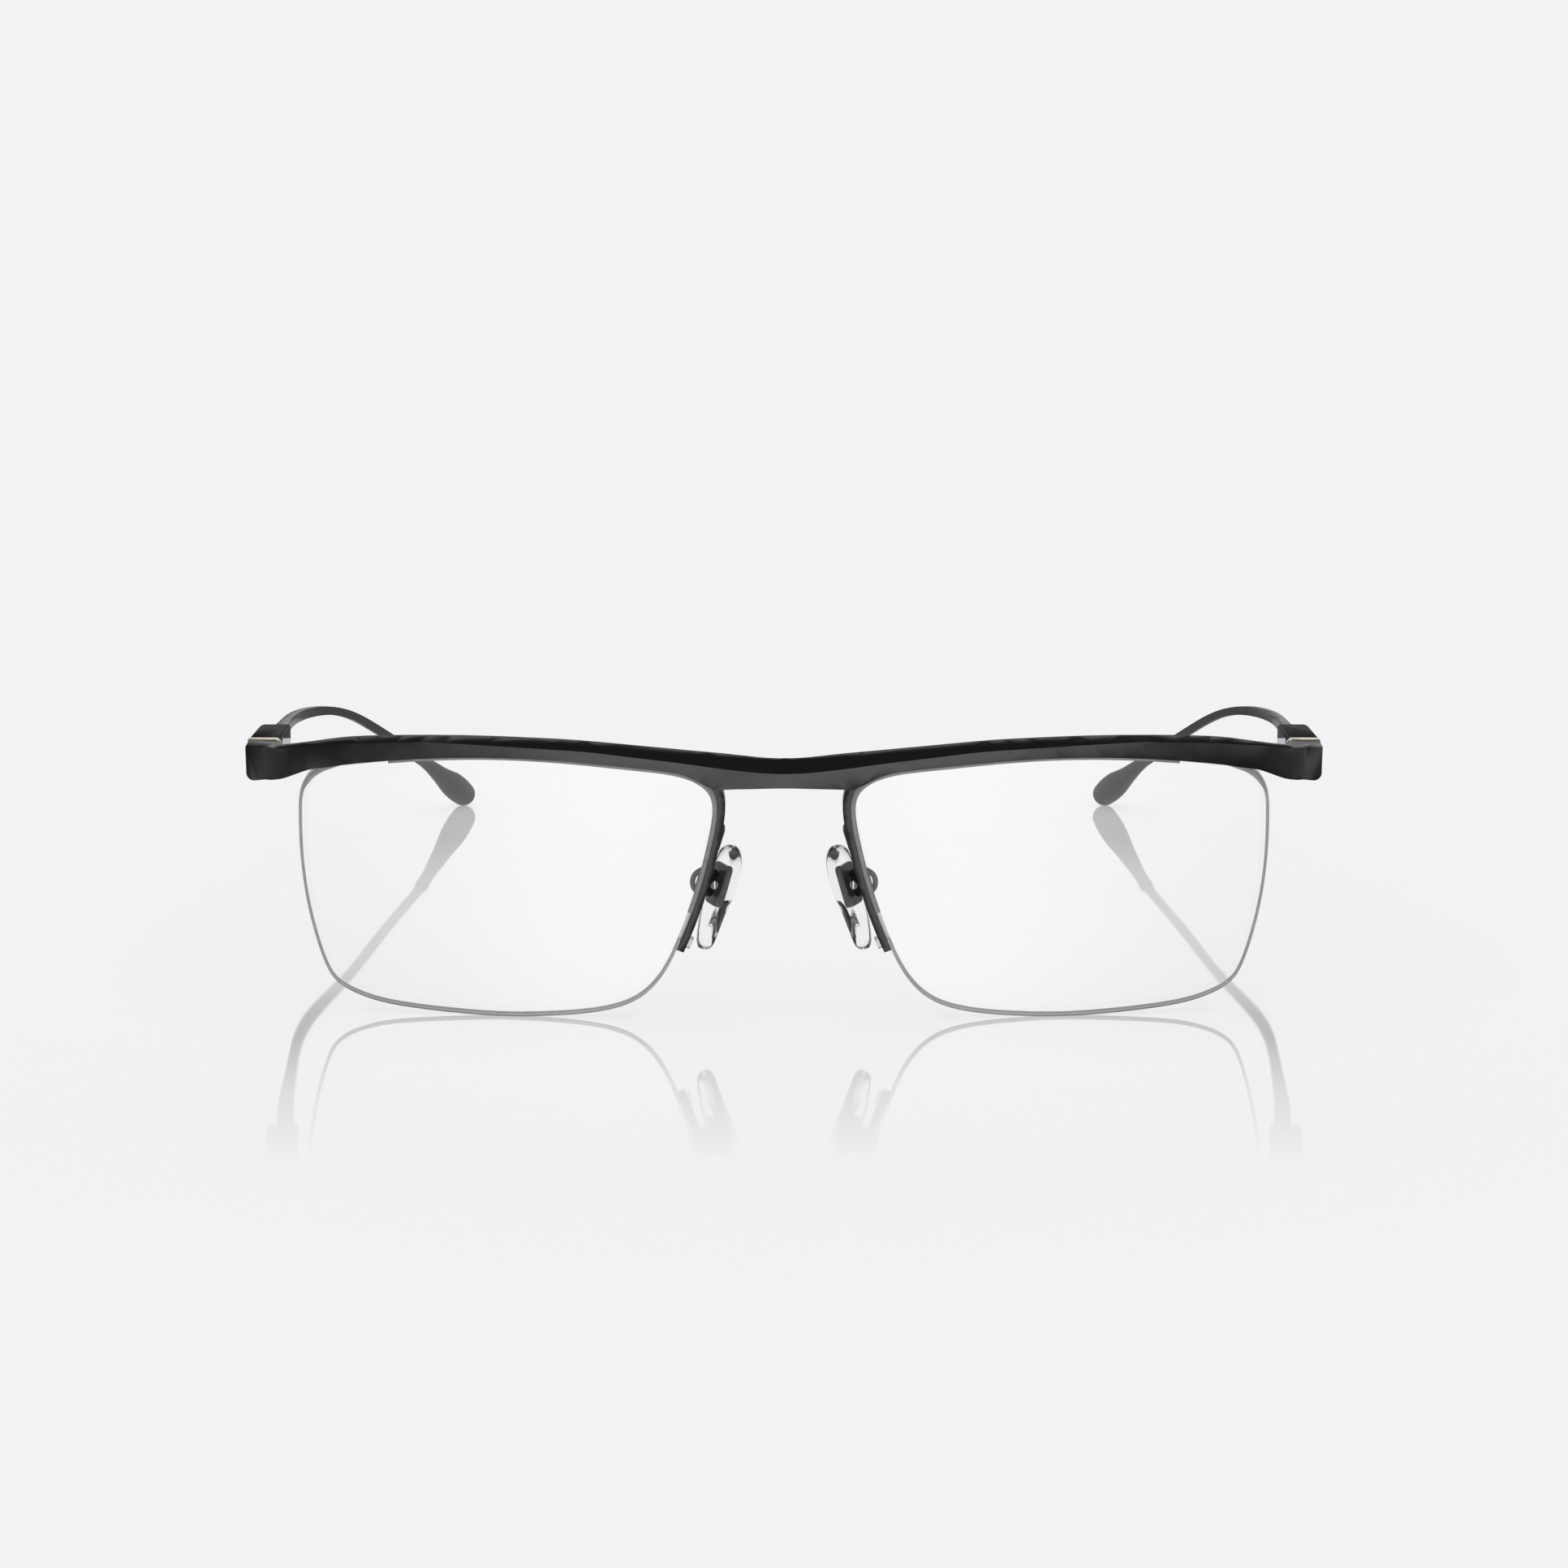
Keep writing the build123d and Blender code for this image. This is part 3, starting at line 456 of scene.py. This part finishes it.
def smooth_loop(points, count):
    """A closed Catmull-Rom curve through the points."""
    n = len(points)
    out = []
    for i in range(count):
        u = i / count * n
        k, t = int(u) % n, u - int(u)
        p = [Vector((*points[(k + j - 1) % n], 0.0)) for j in range(4)]
        out.append(0.5 * ((2 * p[1]) + (p[2] - p[0]) * t + (2 * p[0] - 5 * p[1] + 4 * p[2] - p[3]) * t * t
                          + (3 * p[1] - p[0] - 3 * p[2] + p[3]) * t * t * t))
    return out


def nose_pad(side, sg):
    base = smooth_loop(PAD_OUTLINE, 160)
    n = len(base)
    normals = []
    for i in range(n):
        t = base[(i + 2) % n] - base[i - 2]
        normals.append(Vector((-t.y, t.x, 0.0)).normalized())
    if sum(nn.dot(-b) for nn, b in zip(normals, base)) < 0:
        normals = [-nn for nn in normals]
    prof = []
    for k in range(15):
        a = math.pi * (k / 14 - 0.5)
        inset = 0.66 * (1 - math.cos(a) ** 0.9) if abs(a) < math.pi / 2 - 1e-6 else 0.66
        prof.append((PAD_T / 2 + PAD_T / 2 * math.copysign(abs(math.sin(a)) ** 0.85, a), inset))
    bm = bmesh.new()
    rings = []
    for h, inset in prof:
        ring = []
        for b, nn in zip(base, normals):
            q = b + nn * inset
            p = BOX_O + PN * (PAD_OUT - PAD_T / 2 + h) + PU * (q.x - PAD_DOWN) + PW * q.y
            ring.append(bm.verts.new(Vector((p.x * sg, p.y, p.z)) * MM))
        rings.append(ring)
    for a, b in zip(rings, rings[1:]):
        for i in range(n):
            bm.faces.new((a[i], a[(i + 1) % n], b[(i + 1) % n], b[i]))
    for ring, turn in ((rings[0], True), (rings[-1], False)):
        bm.faces.new(list(reversed(ring)) if turn else ring)
    bmesh.ops.recalc_face_normals(bm, faces=bm.faces)
    for f in bm.faces:
        f.smooth = True
    me = bpy.data.meshes.new(side + "_soft_pad")
    bm.to_mesh(me)
    bm.free()
    me.set_sharp_from_angle(angle=math.radians(40))
    ob = link(side + "_soft_pad", me, [MAT["silicone"]])
    stands_for(ob, side + "_nose_pad")
    return ob


for side, sg in (("right", 1), ("left", -1)):
    nose_pad(side, sg)

# ------------------------------------------------------------------ floor, light, camera
BG = rgb(242, 242, 244)


def floor_mat():
    m = bpy.data.materials.new("studio_floor")
    m.use_nodes = True
    nt = m.node_tree
    nt.nodes.clear()
    out = nt.nodes.new("ShaderNodeOutputMaterial")
    dif = nt.nodes.new("ShaderNodeBsdfDiffuse")
    dif.inputs["Color"].default_value = (0.80, 0.80, 0.80, 1)
    emi = nt.nodes.new("ShaderNodeEmission")
    emi.inputs["Color"].default_value = BG
    emi.inputs["Strength"].default_value = 0.665
    add = nt.nodes.new("ShaderNodeAddShader")
    glo = nt.nodes.new("ShaderNodeBsdfGlossy")
    glo.inputs["Color"].default_value = (1, 1, 1, 1)
    glo.inputs["Roughness"].default_value = 0.035
    mix = nt.nodes.new("ShaderNodeMixShader")
    nt.links.new(dif.outputs[0], add.inputs[0])
    nt.links.new(emi.outputs[0], add.inputs[1])
    geo = nt.nodes.new("ShaderNodeNewGeometry")
    sep = nt.nodes.new("ShaderNodeSeparateXYZ")
    nt.links.new(geo.outputs["Position"], sep.inputs[0])
    # the polish fades towards the front of the sheet
    y0, y1 = -0.150, 0.150
    span = remap(nt, sep.outputs["Y"], y0, y1, 0.0, 1.0)
    fade = ramp(nt, span.outputs["Result"], [((y / 1000 - y0) / (y1 - y0), (f, f, f, 1)) for y, f in (
        (-142, 0.0), (-105, 0.20), (-78, 0.46), (-66, 0.44), (-45, 0.32), (-7, 0.28), (25, 0.38), (48, 0.50), (80, 0.50),
        (140, 0.30))])
    nt.links.new(fade.outputs["Color"], mix.inputs["Fac"])
    nt.links.new(add.outputs[0], mix.inputs[1])
    nt.links.new(glo.outputs[0], mix.inputs[2])
    nt.links.new(mix.outputs[0], out.inputs["Surface"])
    return m


bm = bmesh.new()
bmesh.ops.create_grid(bm, x_segments=2, y_segments=2, size=20.0)
me = bpy.data.meshes.new("floor")
bm.to_mesh(me)
bm.free()
floor = bpy.data.objects.new("floor", me)
scene.collection.objects.link(floor)
floor.location.z = -0.00002
me.materials.append(floor_mat())
floor.visible_glossy = False

# the room: bright at the far horizon, dark overhead; a bright table in front, below the horizon
world = bpy.data.worlds.new("studio")
scene.world = world
world.use_nodes = True
wn = world.node_tree
wn.nodes.clear()
w_out = wn.nodes.new("ShaderNodeOutputWorld")
w_bg = wn.nodes.new("ShaderNodeBackground")
w_co = wn.nodes.new("ShaderNodeTexCoord")
w_sep = wn.nodes.new("ShaderNodeSeparateXYZ")
wn.links.new(w_co.outputs["Generated"], w_sep.inputs[0])


def calc(op, a, b=None):
    n = wn.nodes.new("ShaderNodeMath")
    n.operation = op
    for k, v in enumerate((a, b)):
        if v is None:
            continue
        if isinstance(v, (int, float)):
            n.inputs[k].default_value = v
        else:
            wn.links.new(v, n.inputs[k])
    return n.outputs[0]


X, Y, Z = w_sep.outputs
far_r = ramp(wn, calc("MULTIPLY_ADD", Z, 0.5), [
    (0.0, BG), (0.5 + 0.5 * math.sin(math.radians(17)), BG),
    (0.5 + 0.5 * math.sin(math.radians(24)), (0.52, 0.52, 0.525, 1)),
    (0.5 + 0.5 * math.sin(math.radians(32)), (0.20, 0.20, 0.203, 1)),
    (0.5 + 0.5 * math.sin(math.radians(55)), (0.13, 0.13, 0.13, 1)), (1.0, (0.08, 0.08, 0.08, 1))])
far_r.inputs["Fac"].links[0].from_node.inputs[2].default_value = 0.5
azim = calc("ABSOLUTE", calc("ARCTAN2", X, calc("MULTIPLY", Y, -1.0)))
patch = calc("MULTIPLY", calc("EXPONENT", calc("MULTIPLY", calc("POWER", calc("MULTIPLY", azim, 1.0 / math.radians(24.0)), 1.8), -1.0)), 1.38)
elev_w = remap(wn, Z, -0.10, 0.22, 1.0, 0.0)
elev_w.interpolation_type = "SMOOTHSTEP"
front_v = calc("ADD", calc("MULTIPLY", patch, elev_w.outputs["Result"]), 0.14)
mixf = remap(wn, Y, -0.15, 0.10, 0.0, 1.0)
mixf.interpolation_type = "SMOOTHSTEP"
comb = wn.nodes.new("ShaderNodeCombineColor")
for k in range(3):
    wn.links.new(front_v, comb.inputs[k])
mixc = wn.nodes.new("ShaderNodeMix")
mixc.data_type = "RGBA"
wn.links.new(mixf.outputs["Result"], mixc.inputs[0])
wn.links.new(comb.outputs[0], mixc.inputs[6])
wn.links.new(far_r.outputs["Color"], mixc.inputs[7])
wn.links.new(mixc.outputs[2], w_bg.inputs["Color"])
wn.links.new(w_bg.outputs[0], w_out.inputs["Surface"])


def sun(name, direction, strength, angle):
    d = bpy.data.lights.new(name, "SUN")
    d.energy = strength
    d.angle = math.radians(angle)
    o = bpy.data.objects.new(name, d)
    scene.collection.objects.link(o)
    o.rotation_euler = Vector(direction).to_track_quat("-Z", "Y").to_euler()
    o.visible_glossy = False
    return o


sun("overhead_softbox", (0.1, 0.25, -1.0), 0.55, 80)

cam_d = bpy.data.cameras.new("camera")
cam = bpy.data.objects.new("camera", cam_d)
scene.collection.objects.link(cam)
cam_d.sensor_width = 36.0
cam_d.lens = 6410.556 / 1932 * 36.0
cam_d.clip_start = 0.01
cam_d.clip_end = 100.0
cam.location = (0.0, (-670.218 - 67.203) * MM, (164.037 - 0.169) * MM)
cam.rotation_euler = (math.radians(90.0 - 11.18497), 0.0, 0.0)
scene.camera = cam
scene.view_settings.view_transform = "Standard"
scene.view_settings.look = "None"
scene.view_settings.exposure = 0.0
scene.view_settings.gamma = 1.0
